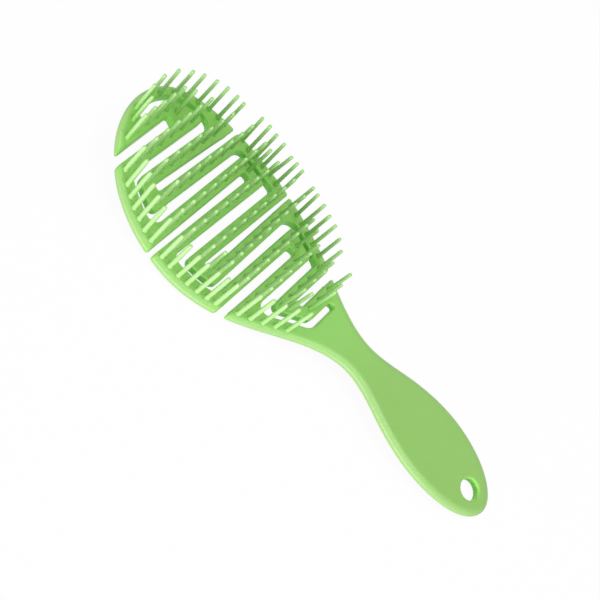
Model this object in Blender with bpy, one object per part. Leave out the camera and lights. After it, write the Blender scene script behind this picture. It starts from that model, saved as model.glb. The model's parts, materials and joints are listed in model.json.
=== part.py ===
"""Vent brush moulded in one piece: paddle handle, slotted flexible head and field of tall pins.

The head is a flat plate cut by long slots into twelve cross ribs.  Six slots open through the
outline, three on each side, and one closed slot winds to and fro between them, so the plate becomes
two folded ribbons that meet at the tip and at the handle.  Every fold is a flexure.

Units are metres.  Each member is drawn in the frame of the moulding: X across the brush, Y from the
handle's end to the tip, Z along the pins.  One empty tilts the whole moulding onto its back.
"""

from math import acos, atan, atan2, cos, hypot, pi, sin, sqrt, tan

import bmesh
import bpy
from mathutils import Matrix, Vector

MM = 0.001

# Overall outline, with the head's places counted from the tip and the handle's from its heel
LENGTH = 235.0 * MM
HEAD_WIDTH = 81.0 * MM
HEAD_WIDEST_FROM_TIP = 61.5 * MM
TIP_POWER = 2.12
SHOULDER_FROM_TIP = 110.0 * MM
SHOULDER_WIDTH = 50.0 * MM
SHOULDER_SLOPE = 0.62
WAIST_FROM_TIP = 147.5 * MM
WAIST_WIDTH = 17.6 * MM
HANDLE_MID_WIDTH = 29.7 * MM
HANDLE_MID_SLOPE = -0.29
HANDLE_WIDEST_FROM_HEEL = 37.5 * MM
HANDLE_WIDTH = 37.6 * MM

# Plate section
THICKNESS = 4.8 * MM
EDGE_ROUND = 2.0 * MM
EDGE_ROUND_WIDTH = 3.0 * MM
SLOT_EDGE_ROUND = 0.5 * MM
FOLD_ROUND = 3.0 * MM
COMB_ROUND = 1.5 * MM
SLOT_END_ROUND = 1.4 * MM

# Slots and ribs
RIB_COUNT = 12
RIB_PITCH = 9.65 * MM
SLOT_WIDTH = 4.3 * MM
FIRST_RIB_FROM_TIP = 10.85 * MM
PASS_LEFT = 3.5 * MM
PASS_RIGHT = 2.1 * MM
PASS_SHOULDER = 4.7 * MM
PLATE_LEFT = 8.2 * MM
PLATE_RIGHT = 6.6 * MM
PLATE_SHOULDER = 9.0 * MM
STUB_MARGIN = 0.3 * MM
RIM_TIP = 4.8 * MM
RIM_SIDE = 7.5 * MM
RIM_POWER = 2.3
CURL_START = 7.0 * MM
TIP_JOIN = 15.3 * MM
SHOULDER_SLOT_WALL = 7.2 * MM

# Width of the strap that each fold leaves past the closed end of its slot, from the tip
FOLD_STRAPS = (12.0 * MM, 7.3 * MM, 4.7 * MM, 5.5 * MM, 6.7 * MM, 7.9 * MM)

# Long section: the top surface rises from the heel, crests in the handle's middle, falls along
# the neck to the belly of the head and rises again to the tip
HEEL_SLOPE = 0.075
NECK_SLOPE = -0.235
NECK_FALL_TOP_FROM_TIP = 122.5 * MM
NECK_FALL_FOOT_FROM_TIP = 99.5 * MM
BELLY_FROM_TIP = 68.6 * MM
BELLY_DEPTH = 11.9 * MM
TOE_FROM_TIP = 32.5 * MM
TOE_SLOPE = 0.21
TIP_SLOPE = 0.522

# Hanging hole
HOLE_DIAMETER = 10.0 * MM
HOLE_INSET = 12.0 * MM
HOLE_ROUND = 1.1 * MM

# Pins
PIN_LENGTH = 19.9 * MM
PIN_ROOT_DIAMETER = 1.95 * MM
PIN_TIP_DIAMETER = 1.65 * MM
PIN_DOME = 0.6 * MM
PIN_ROOT_DEPTH = 1.0 * MM
PIN_SIDES = 8
PIN_EDGE_INSET = 4.0 * MM
PIN_END_MARGIN = 1.05 * MM
PIN_TURN_SHIFT = 1.25 * MM
SHOULDER_PIN_LEAD = 2.2 * MM
RIM_PIN_INSET = 3.2 * MM
# Steps between the rim's pins, from the left; they share out the whole of the rim
RIM_PIN_STEPS = (
    8.0 * MM, 6.0 * MM, 6.6 * MM, 8.0 * MM, 8.0 * MM,
    6.2 * MM, 6.8 * MM, 5.9 * MM, 5.7 * MM, 4.6 * MM,
)

# Each rib's row, from the tip: its first pin's distance from the rib's left end, the pins' pitch,
# and the inset of one more pin from the outer edge of its fold, where it has one
ROW_LEADS = (
    3.3 * MM, 4.2 * MM, 4.3 * MM, 4.8 * MM, 1.35 * MM, 1.4 * MM,
    1.5 * MM, 1.5 * MM, 1.9 * MM, 4.7 * MM, 3.8 * MM, 7.2 * MM,
)
ROW_PITCHES = (
    6.35 * MM, 7.2 * MM, 7.25 * MM, 7.2 * MM, 7.2 * MM, 7.2 * MM,
    7.1 * MM, 6.65 * MM, 7.1 * MM, 7.1 * MM, 7.2 * MM, 7.0 * MM,
)
FOLD_PIN_INSETS = (
    6.3 * MM, 0, 0, 0, 2.2 * MM, 0,
    0, 2.6 * MM, 3.9 * MM, 0, 2.1 * MM, 0,
)

# Fits
GAP = 0.3 * MM
REST_RIB = 7
REST_LAND = 0.03 * MM

# Steps used to draw round stretches
EDGE_STEPS = 3
FOLD_STEPS = 4
SLOT_END_STEPS = 3
RIM_STEPS = 20
HANDLE_STEP = 5.5 * MM
HOLE_STEPS = 32

RIB_WIDTH = RIB_PITCH - SLOT_WIDTH
HALF_RIB = RIB_WIDTH / 2
HALF_GAP = GAP / 2
HALF_HEAD = HEAD_WIDTH / 2
TIP_Y = LENGTH / 2
HEEL_Y = -LENGTH / 2
HEAD_WIDEST_Y = TIP_Y - HEAD_WIDEST_FROM_TIP
SHOULDER_Y = TIP_Y - SHOULDER_FROM_TIP
WAIST_Y = TIP_Y - WAIST_FROM_TIP
HANDLE_WIDEST_Y = HEEL_Y + HANDLE_WIDEST_FROM_HEEL
HANDLE_MID_Y = (WAIST_Y + HANDLE_WIDEST_Y) / 2
BELLY_Y = TIP_Y - BELLY_FROM_TIP
SLOPE_STATIONS = (
    (HEEL_Y, HEEL_SLOPE),
    (HANDLE_MID_Y, 0.0),
    (TIP_Y - NECK_FALL_TOP_FROM_TIP, NECK_SLOPE),
    (TIP_Y - NECK_FALL_FOOT_FROM_TIP, NECK_SLOPE),
    (BELLY_Y, 0.0),
    (TIP_Y - TOE_FROM_TIP, TOE_SLOPE),
    (TIP_Y, TIP_SLOPE),
)

GREEN = (0.262, 0.602, 0.138, 1.0)
GREEN_ROUGHNESS = 0.36


def clear_scene():
    for item in list(bpy.data.objects):
        bpy.data.objects.remove(item, do_unlink=True)


def make_material(name):
    material = bpy.data.materials.new(name)
    material.use_nodes = True
    shader = material.node_tree.nodes["Principled BSDF"]
    shader.inputs["Base Color"].default_value = GREEN
    shader.inputs["Roughness"].default_value = GREEN_ROUGHNESS
    shader.inputs["Metallic"].default_value = 0.0
    return material


# Outline of the whole brush


def hermite(y, y0, w0, s0, y1, w1, s1):
    """Cubic that leaves (y0, w0) with slope s0 and reaches (y1, w1) with slope s1."""
    span = y1 - y0
    t = (y - y0) / span
    return (
        (2 * t**3 - 3 * t**2 + 1) * w0
        + (t**3 - 2 * t**2 + t) * span * s0
        + (3 * t**2 - 2 * t**3) * w1
        + (t**3 - t**2) * span * s1
    )


def superellipse(t, power):
    return max(0.0, 1.0 - abs(t) ** power) ** (1.0 / power)


def half_width(y):
    """Half the width of the brush at a place along it."""
    if y >= HEAD_WIDEST_Y:
        return HALF_HEAD * superellipse((y - HEAD_WIDEST_Y) / (TIP_Y - HEAD_WIDEST_Y), TIP_POWER)
    if y >= SHOULDER_Y:
        return hermite(y, SHOULDER_Y, SHOULDER_WIDTH / 2, SHOULDER_SLOPE, HEAD_WIDEST_Y, HALF_HEAD, 0.0)
    if y >= WAIST_Y:
        return hermite(y, WAIST_Y, WAIST_WIDTH / 2, 0.0, SHOULDER_Y, SHOULDER_WIDTH / 2, SHOULDER_SLOPE)
    if y >= HANDLE_MID_Y:
        return hermite(y, HANDLE_MID_Y, HANDLE_MID_WIDTH / 2, HANDLE_MID_SLOPE, WAIST_Y, WAIST_WIDTH / 2, 0.0)
    if y >= HANDLE_WIDEST_Y:
        return hermite(
            y, HANDLE_WIDEST_Y, HANDLE_WIDTH / 2, 0.0, HANDLE_MID_Y, HANDLE_MID_WIDTH / 2, HANDLE_MID_SLOPE
        )
    return HANDLE_WIDTH / 2 * superellipse((HANDLE_WIDEST_Y - y) / (HANDLE_WIDEST_Y - HEEL_Y), 2.0)


def rim_curve(y, inset):
    """Half-width of the tip rim's inner edge, drawn in by a further inset."""
    reach = TIP_Y - HEAD_WIDEST_Y - RIM_TIP - inset
    side = HALF_HEAD - RIM_SIDE - inset
    return side * superellipse((y - HEAD_WIDEST_Y) / reach, RIM_POWER)


def rib_y(index):
    """Middle of a rib, counted from 0 at the tip."""
    return TIP_Y - FIRST_RIB_FROM_TIP - index * RIB_PITCH


def slot_y(index):
    """Middle of the slot below a rib."""
    return rib_y(index) - RIB_PITCH / 2


# Long section


def slope_integral(y):
    """Height of the top surface, counted from the first slope station."""
    height = 0.0
    for (y0, s0), (y1, s1) in zip(SLOPE_STATIONS, SLOPE_STATIONS[1:]):
        reach = min(max(y, y0), y1) - y0
        height += s0 * reach + (s1 - s0) / (y1 - y0) * reach**2 / 2
    return height


def smooth_top(y):
    return slope_integral(y) - slope_integral(BELLY_Y) - BELLY_DEPTH


def section_stations():
    """Places along the brush where the plate's top and underside change slope."""
    stations = [HEEL_Y]
    handle_top = rib_y(RIB_COUNT - 1) - HALF_RIB - SLOT_WIDTH
    count = round((handle_top - HEEL_Y) / HANDLE_STEP)
    stations += [HEEL_Y + (handle_top - HEEL_Y) * k / count for k in range(1, count + 1)]
    for index in reversed(range(RIB_COUNT)):
        stations += [rib_y(index) - HALF_RIB, rib_y(index) + HALF_RIB]
    stations.append((stations[-1] + TIP_Y) / 2)
    stations.append(TIP_Y)
    return stations


STATIONS = section_stations()


def plate_top(y):
    """Height of the plate's top, straight between neighbouring stations."""
    for y0, y1 in zip(STATIONS, STATIONS[1:]):
        if y <= y1:
            share = (y - y0) / (y1 - y0)
            return smooth_top(y0) * (1 - share) + smooth_top(y1) * share
    return smooth_top(y)


# Solids

OUTER, SLOT, CUT = "outer", "slot", "cut"


def edge_layers():
    """Heights of the plate's rings, with the inset of outer edges and of slot edges at each."""
    lower = []
    for k in range(EDGE_STEPS + 1):
        angle = pi / 2 * k / EDGE_STEPS
        height = EDGE_ROUND * (1 - cos(angle))
        drop = max(0.0, SLOT_EDGE_ROUND - height)
        slot_inset = SLOT_EDGE_ROUND - sqrt(SLOT_EDGE_ROUND**2 - drop**2)
        lower.append((height, EDGE_ROUND_WIDTH * (1 - sin(angle)), slot_inset))
    upper = [(THICKNESS - height, outer, slot) for height, outer, slot in reversed(lower)]
    return lower + upper


def rounded(corners):
    """Outline with each corner that has a radius replaced by an arc.

    A corner is (x, y, kind of the edge that leaves it, radius).
    """
    points = []
    for index, (x, y, kind, radius) in enumerate(corners):
        here = Vector((x, y))
        if radius == 0:
            points.append((here, kind))
            continue
        before = corners[index - 1]
        after = corners[(index + 1) % len(corners)]
        back = (Vector(before[:2]) - here).normalized()
        ahead = (Vector(after[:2]) - here).normalized()
        half_angle = acos(max(-1.0, min(1.0, back.dot(ahead)))) / 2
        centre = here + (back + ahead).normalized() * radius / sin(half_angle)
        start = here + back * radius / tan(half_angle) - centre
        end = here + ahead * radius / tan(half_angle) - centre
        first = atan2(start.y, start.x)
        sweep = (atan2(end.y, end.x) - first + pi) % (2 * pi) - pi
        steps = FOLD_STEPS if radius >= FOLD_ROUND else SLOT_END_STEPS
        for k in range(steps + 1):
            angle = first + sweep * k / steps
            points.append((centre + Vector((cos(angle), sin(angle))) * radius, kind))
    return points


def inset_loop(points, outer_inset, slot_inset):
    """Outline moved inward, edge by edge, by the inset of each edge's kind."""
    insets = {OUTER: outer_inset, SLOT: slot_inset, CUT: 0.0}
    moved = []
    for index, (here, kind) in enumerate(points):
        before, kind_before = points[index - 1]
        after = points[(index + 1) % len(points)][0]
        along_in = (here - before).normalized()
        along_out = (after - here).normalized()
        normal_in = Vector((-along_in.y, along_in.x))
        normal_out = Vector((-along_out.y, along_out.x))
        inset_in = insets[kind_before]
        inset_out = insets[kind]
        turn = along_in.x * along_out.y - along_in.y * along_out.x
        if abs(turn) < 0.02:
            moved.append(here + (normal_in + normal_out).normalized() * (inset_in + inset_out) / 2)
            continue
        foot_in = here + normal_in * inset_in
        foot_out = here + normal_out * inset_out
        step = foot_out - foot_in
        reach = (step.x * along_out.y - step.y * along_out.x) / turn
        moved.append(foot_in + along_in * reach)
    return moved


def slab(corners):
    """Flat plate with the given outline and rounded top and bottom edges, not yet bent."""
    points = rounded(corners)
    form = bmesh.new()
    rings = []
    for height, outer_inset, slot_inset in edge_layers():
        loop = inset_loop(points, outer_inset, slot_inset)
        rings.append([form.verts.new((point.x, point.y, height)) for point in loop])
    for low, high in zip(rings, rings[1:]):
        for k in range(len(low)):
            after = (k + 1) % len(low)
            form.faces.new((low[k], low[after], high[after], high[k]))
    form.faces.new(list(reversed(rings[0])))
    form.faces.new(rings[-1])
    return form


def bend(form, rests=False):
    """Cuts the flat plate at the stations and lifts it onto the long section."""
    lowest = min(vert.co.y for vert in form.verts)
    highest = max(vert.co.y for vert in form.verts)
    for station in STATIONS:
        if lowest + GAP < station < highest - GAP:
            geometry = form.verts[:] + form.edges[:] + form.faces[:]
            bmesh.ops.bisect_plane(
                form, geom=geometry, dist=0.00001, plane_co=(0, station, 0), plane_no=(0, 1, 0)
            )
    bmesh.ops.triangulate(form, faces=[face for face in form.faces if len(face.verts) > 4])
    for vert in form.verts:
        if rests and vert.co.z < REST_LAND:
            vert.co.z = rest_line(vert.co.y)
        else:
            vert.co.z += plate_top(vert.co.y) - THICKNESS


def pin(form, x, y):
    """Adds one tapered, round-ended pin that stands on the plate."""
    base = plate_top(y)
    rings = []
    root_radius = PIN_ROOT_DIAMETER / 2
    tip_radius = PIN_TIP_DIAMETER / 2
    sections = (
        (base - PIN_ROOT_DEPTH, root_radius),
        (base + PIN_LENGTH - PIN_DOME, tip_radius),
        (base + PIN_LENGTH, tip_radius * 0.5),
    )
    for height, radius in sections:
        ring = []
        for k in range(PIN_SIDES):
            angle = 2 * pi * (k + 0.5) / PIN_SIDES
            ring.append(form.verts.new((x + radius * cos(angle), y + radius * sin(angle), height)))
        rings.append(ring)
    for low, high in zip(rings, rings[1:]):
        for k in range(PIN_SIDES):
            after = (k + 1) % PIN_SIDES
            form.faces.new((low[k], low[after], high[after], high[k]))
    form.faces.new(list(reversed(rings[0])))
    form.faces.new(rings[-1])


def to_object(form, name):
    bmesh.ops.recalc_face_normals(form, faces=form.faces)
    mesh = bpy.data.meshes.new(name)
    form.to_mesh(mesh)
    form.free()
    item = bpy.data.objects.new(name, mesh)
    bpy.context.scene.collection.objects.link(item)
    return item


def combine(item, tool, operation):
    """Applies one exact Boolean and removes its tool."""
    modifier = item.modifiers.new("combine", "BOOLEAN")
    modifier.operation = operation
    modifier.solver = "EXACT"
    modifier.object = tool
    bpy.context.view_layer.update()
    graph = bpy.context.evaluated_depsgraph_get()
    mesh = bpy.data.meshes.new_from_object(item.evaluated_get(graph))
    item.modifiers.clear()
    old = item.data
    item.data = mesh
    bpy.data.meshes.remove(old)
    bpy.data.objects.remove(tool, do_unlink=True)


def member(name, corners, pins=(), rests=False):
    """One member of the moulding with its own pins, as a solid in the moulding's frame."""
    form = slab(corners)
    bend(form, rests)
    item = to_object(form, name)
    if pins:
        field = bmesh.new()
        for x, y in pins:
            pin(field, x, y)
        combine(item, to_object(field, name + "_pins"), "UNION")
    item.data.name = name
    item.data.materials.clear()
    item.data.materials.append(make_material(name + "_plastic"))
    return item


# Outlines of the members


def mirrored(corners):
    """The same outline on the other side of the brush, still drawn anticlockwise."""
    flipped = [(-x, y, radius) for x, y, kind, radius in corners]
    kinds = [kind for x, y, kind, radius in corners]
    count = len(corners)
    result = []
    for index in range(count):
        source = count - 1 - index
        x, y, radius = flipped[source]
        result.append((x, y, kinds[source - 1], radius))
    return result


def edge_points(y_from, y_to):
    """Corners along the right outline, from one place to another, with both ends."""
    low, high = min(y_from, y_to), max(y_from, y_to)
    places = [low] + [y for y in STATIONS if low + GAP < y < high - GAP] + [high]
    if y_from > y_to:
        places.reverse()
    return [(half_width(y), y) for y in places]


def inner_edge(y, plate):
    return half_width(y) - plate


# How each rib ends on the left and right: at a plate, or in a fold round the closed end of an
# open slot, which lies on the tip side (+1) or the handle side (-1) of the rib
PLATE_END = 0
RIB_FOLDS = (
    (PLATE_END, -1),
    (PLATE_END, +1),
    (-1, PLATE_END),
    (+1, PLATE_END),
    (PLATE_END, -1),
    (PLATE_END, +1),
    (-1, PLATE_END),
    (+1, PLATE_END),
    (PLATE_END, -1),
    (PLATE_END, +1),
    (-1, PLATE_END),
    (+1, PLATE_END),
)


SHOULDER_RIB = RIB_COUNT - 3


def left_plate(index):
    return PLATE_SHOULDER if index >= SHOULDER_RIB else PLATE_LEFT


def left_pass(index):
    return PASS_SHOULDER if index >= SHOULDER_RIB else PASS_LEFT


def fold_edge(index, side, y):
    """Distance of a fold's outer edge from the middle line."""
    if side > 0 and index <= 1:
        return rim_curve(y, PASS_RIGHT)
    if side > 0:
        return inner_edge(y, PLATE_RIGHT + PASS_RIGHT)
    return inner_edge(y, left_plate(index) + left_pass(index))


def plate_corner_y(index):
    """Side of a rib on which its plate's inner corner lies: away from the open slot."""
    fold = sum(RIB_FOLDS[index])
    return rib_y(index) - fold * HALF_RIB


def plate_edge(index, side, y):
    """Distance of a plate's or the rim's inner edge from the middle line."""
    if index == 2:
        return rim_curve(y, 0)
    return inner_edge(y, PLATE_RIGHT if side > 0 else left_plate(index))


def stub_end(index, side):
    """Distance from the middle line at which a rib parts from its plate, past the inner corner's round."""
    corner_y = plate_corner_y(index)
    away = 1 if corner_y > rib_y(index) else -1
    edge = plate_edge(index, side, corner_y)
    run = plate_edge(index, side, corner_y + away * 2 * COMB_ROUND) - edge
    angle = acos(-run / hypot(run, 2 * COMB_ROUND))
    return edge - COMB_ROUND / tan(angle / 2) - STUB_MARGIN


def shoulder_slot_end():
    """Closed right end of the winding slot, in the handle's shoulder."""
    return inner_edge(rib_y(RIB_COUNT - 1) - RIB_PITCH / 2, SHOULDER_SLOT_WALL)


def right_end(index):
    """Where a rib is cut on the right, or the outer edge of its fold there."""
    if index == RIB_COUNT - 1:
        return shoulder_slot_end() - SLOT_END_ROUND - STUB_MARGIN
    if RIB_FOLDS[index][1] != PLATE_END:
        return fold_edge(index, +1, rib_y(index))
    return stub_end(index, +1)


def left_end(index):
    """Where a rib is cut on the left, or the outer edge of its fold there."""
    if index == 0:
        return -TIP_JOIN
    if RIB_FOLDS[index][0] != PLATE_END:
        return -fold_edge(index, -1, rib_y(index))
    return -stub_end(index, -1)


def end_corners(index, side):
    """Corners of one end of a rib, anticlockwise, as seen on the right side."""
    y = rib_y(index)
    top, bottom = y + HALF_RIB, y - HALF_RIB
    fold = RIB_FOLDS[index][1 if side > 0 else 0]
    if fold == PLATE_END:
        cut = right_end(index) if side > 0 else -left_end(index)
        return [(cut - HALF_GAP, bottom, CUT, 0), (cut - HALF_GAP, top, SLOT, 0)]
    # the slot that the fold closes, and the fold's half of its strap
    middle = y + fold * RIB_PITCH / 2
    reach = fold_edge(index, side, middle) - FOLD_STRAPS[index // 2]
    near = y + fold * HALF_RIB
    far = y - fold * HALF_RIB
    strap_end = middle - fold * HALF_GAP
    corners = [(reach, near, SLOT, SLOT_END_ROUND), (reach, strap_end, CUT, 0)]
    steps = 4 if index == 0 else 1
    for k in range(steps):
        place = strap_end + (far - strap_end) * k / steps
        corners.append((fold_edge(index, side, place), place, SLOT, 0))
    corners.append((fold_edge(index, side, far), far, SLOT, FOLD_ROUND))
    if fold < 0:
        return corners
    # a fold on the tip side is drawn from its far corner back to the slot
    flipped = []
    for k in reversed(range(len(corners))):
        x, place, kind, radius = corners[k]
        flipped.append((x, place, corners[k - 1][2], radius))
    return flipped


def rib_outline(index):
    right = end_corners(index, +1)
    left = mirrored(end_corners(index, -1))
    return right + left


def rib_pins(index):
    y = rib_y(index)
    start, stop = left_end(index), right_end(index)
    pins = []
    x = start + ROW_LEADS[index]
    while x <= stop - PIN_END_MARGIN:
        pins.append((x, y))
        x += ROW_PITCHES[index]
    if FOLD_PIN_INSETS[index]:
        side = 1 if RIB_FOLDS[index][0] == PLATE_END else -1
        place = y + sum(RIB_FOLDS[index]) * (RIB_PITCH / 2 - PIN_TURN_SHIFT)
        pins.append((side * (fold_edge(index, side, place) - FOLD_PIN_INSETS[index]), place))
    return pins


def comb_outline(first, last, plate, stub_cut):
    """Right edge plate with a stub of the rib at each end, from rib first down to rib last."""
    top, bottom = rib_y(first) + HALF_RIB, rib_y(last) - HALF_RIB
    inner_top, inner_bottom = rib_y(first) - HALF_RIB, rib_y(last) + HALF_RIB
    corners = [(x, y, OUTER, 0) for x, y in edge_points(bottom, top)]
    x, y = corners[-1][:2]
    corners[-1] = (x, y, SLOT, 0)
    corners.append((stub_cut(first) + HALF_GAP, top, CUT, 0))
    corners.append((stub_cut(first) + HALF_GAP, inner_top, SLOT, 0))
    corners.append((inner_edge(inner_top, plate), inner_top, SLOT, COMB_ROUND))
    for station in reversed(STATIONS):
        if inner_bottom + 2 * COMB_ROUND < station < inner_top - 2 * COMB_ROUND:
            corners.append((inner_edge(station, plate), station, SLOT, 0))
    corners.append((inner_edge(inner_bottom, plate), inner_bottom, SLOT, COMB_ROUND))
    corners.append((stub_cut(last) + HALF_GAP, inner_bottom, CUT, 0))
    corners.append((stub_cut(last) + HALF_GAP, bottom, SLOT, 0))
    return corners


def left_cut(index):
    return -left_end(index)


def edge_pins(side, first, last):
    """Pins along an edge plate, two for each rib pitch."""
    pins = []
    for k in range(2 * (last - first) + 1):
        y = rib_y(first) - k * RIB_PITCH / 2
        pins.append((side * (half_width(y) - PIN_EDGE_INSET), y))
    return pins


def rim_outline():
    """Tip rim, from the left end of rib 1 round the tip to the right end of rib 3."""
    slot_top = rib_y(0) - HALF_RIB
    join = rib_y(0) + HALF_RIB
    foot = rib_y(2) - HALF_RIB
    foot_top = rib_y(2) + HALF_RIB
    outer = []
    for k in range(RIM_STEPS + 1):
        share = k / RIM_STEPS
        start = acos((foot - HEAD_WIDEST_Y) / (TIP_Y - HEAD_WIDEST_Y))
        stop = -acos((slot_top - HEAD_WIDEST_Y) / (TIP_Y - HEAD_WIDEST_Y))
        angle = start * (1 - share) + stop * share
        y = HEAD_WIDEST_Y + (TIP_Y - HEAD_WIDEST_Y) * cos(angle)
        y = min(y, TIP_Y - 0.01 * MM) if abs(angle) > 0.02 else TIP_Y
        outer.append(((half_width(y)) * (1 if angle > 0 else -1), y, OUTER, 0))
    x, y = outer[-1][:2]
    outer[-1] = (x, y, SLOT, 0)
    reach = TIP_Y - HEAD_WIDEST_Y - RIM_TIP
    side = HALF_HEAD - RIM_SIDE
    curl_top = HEAD_WIDEST_Y + reach * superellipse(-CURL_START / side, RIM_POWER)
    inner = [
        (-TIP_JOIN - HALF_GAP, slot_top, CUT, 0),
        (-TIP_JOIN - HALF_GAP, join + GAP, CUT, 0),
        (-CURL_START, join + GAP, SLOT, 0),
        (-CURL_START, curl_top, SLOT, SLOT_END_ROUND),
    ]
    start = (2 * SLOT_END_ROUND - CURL_START) / side
    stop = rim_curve(foot_top + 2 * COMB_ROUND, 0) / side
    steps = RIM_STEPS - 5
    for k in range(steps + 1):
        share = start + (stop - start) * sin(pi / 2 * k / steps)
        y = HEAD_WIDEST_Y + reach * superellipse(share, RIM_POWER)
        inner.append((side * share, y, SLOT, 0))
    inner += [
        (rim_curve(foot_top, 0), foot_top, SLOT, COMB_ROUND),
        (right_end(2) + HALF_GAP, foot_top, CUT, 0),
        (right_end(2) + HALF_GAP, foot, SLOT, 0),
    ]
    return outer + inner


def rim_pins():
    """Pins along the rim's middle line."""
    side = HALF_HEAD - RIM_PIN_INSET
    reach = TIP_Y - HEAD_WIDEST_Y - RIM_PIN_INSET

    def place(angle):
        y = HEAD_WIDEST_Y + reach * cos(angle)
        x = side * superellipse(cos(angle), TIP_POWER)
        return Vector((x if angle > 0 else -x, y))

    start = -acos((rib_y(0) - HEAD_WIDEST_Y) / reach)
    stop = acos((rib_y(2) - HEAD_WIDEST_Y) / reach)
    samples = [place(start + (stop - start) * k / 200) for k in range(201)]
    travelled = [0.0]
    for a, b in zip(samples, samples[1:]):
        travelled.append(travelled[-1] + (b - a).length)
    pins = []
    for k in range(len(RIM_PIN_STEPS) + 1):
        target = travelled[-1] * sum(RIM_PIN_STEPS[:k]) / sum(RIM_PIN_STEPS)
        nearest = min(range(len(samples)), key=lambda n: abs(travelled[n] - target))
        pins.append(tuple(samples[nearest]))
    return pins


def handle_outline():
    """Paddle, neck and the two shoulders that carry the last left and right ribs."""
    last = RIB_COUNT - 1
    right_top = rib_y(last) + HALF_RIB
    right_bottom = rib_y(last) - HALF_RIB
    left_rib = last - 2
    left_top = rib_y(left_rib) + HALF_RIB
    left_bottom = rib_y(left_rib) - HALF_RIB
    slot_floor = right_bottom - SLOT_WIDTH
    right_side = []
    steps = 7
    for k in range(steps):
        angle = pi / 2 * k / steps
        y = HANDLE_WIDEST_Y - (HANDLE_WIDEST_Y - HEEL_Y) * cos(angle)
        right_side.append((HANDLE_WIDTH / 2 * sin(angle), y))
    right_side += edge_points(HANDLE_WIDEST_Y, right_top)
    corners = [(x, y, OUTER, 0) for x, y in right_side]
    x, y = corners[-1][:2]
    corners[-1] = (x, y, SLOT, 0)
    cut = right_end(last) + HALF_GAP
    corners += [
        (cut, right_top, CUT, 0),
        (cut, right_bottom, SLOT, 0),
        (shoulder_slot_end(), right_bottom, SLOT, SLOT_END_ROUND),
        (shoulder_slot_end(), slot_floor, SLOT, SLOT_END_ROUND),
        (SLOT_END_ROUND / 2 - inner_edge(slot_floor, PLATE_SHOULDER), slot_floor, SLOT, FOLD_ROUND),
    ]
    for station in STATIONS:
        if slot_floor + GAP < station < left_bottom - COMB_ROUND:
            corners.append((-inner_edge(station, PLATE_SHOULDER), station, SLOT, 0))
    corners += [
        (-inner_edge(left_bottom, PLATE_SHOULDER), left_bottom, SLOT, COMB_ROUND),
        (left_end(left_rib) - HALF_GAP, left_bottom, CUT, 0),
        (left_end(left_rib) - HALF_GAP, left_top, SLOT, 0),
    ]
    left_side = [(-x, y) for x, y in edge_points(left_top, HANDLE_WIDEST_Y)]
    left_side += [(-x, y) for x, y in reversed(right_side[1:steps])]
    corners += [(x, y, OUTER, 0) for x, y in left_side]
    return corners


def hanging_hole():
    """Tool for the hanging hole: a round bar that flares at both faces of the plate."""
    centre_y = HEEL_Y + HOLE_INSET
    top = smooth_top(centre_y)
    radius = HOLE_DIAMETER / 2
    profile = (
        (radius + 2 * HOLE_ROUND, -THICKNESS - HOLE_ROUND),
        (radius, -THICKNESS + HOLE_ROUND),
        (radius, -HOLE_ROUND),
        (radius + 2 * HOLE_ROUND, HOLE_ROUND),
    )
    form = bmesh.new()
    rings = []
    for ring_radius, height in profile:
        ring = []
        for k in range(HOLE_STEPS):
            angle = 2 * pi * k / HOLE_STEPS
            place = (ring_radius * cos(angle), centre_y + ring_radius * sin(angle), top + height)
            ring.append(form.verts.new(place))
        rings.append(ring)
    for low, high in zip(rings, rings[1:]):
        for k in range(HOLE_STEPS):
            after = (k + 1) % HOLE_STEPS
            form.faces.new((low[k], low[after], high[after], high[k]))
    form.faces.new(list(reversed(rings[0])))
    form.faces.new(rings[-1])
    return to_object(form, "hanging_hole_tool")


# Support: the brush lies on the underside of one rib and on the end of its handle


def rest_anchor():
    y = rib_y(REST_RIB)
    return y, smooth_top(y) - THICKNESS - REST_LAND


def rest_line(y):
    anchor_y, anchor_z = rest_anchor()
    return anchor_z + REST_SLOPE * (y - anchor_y)


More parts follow.
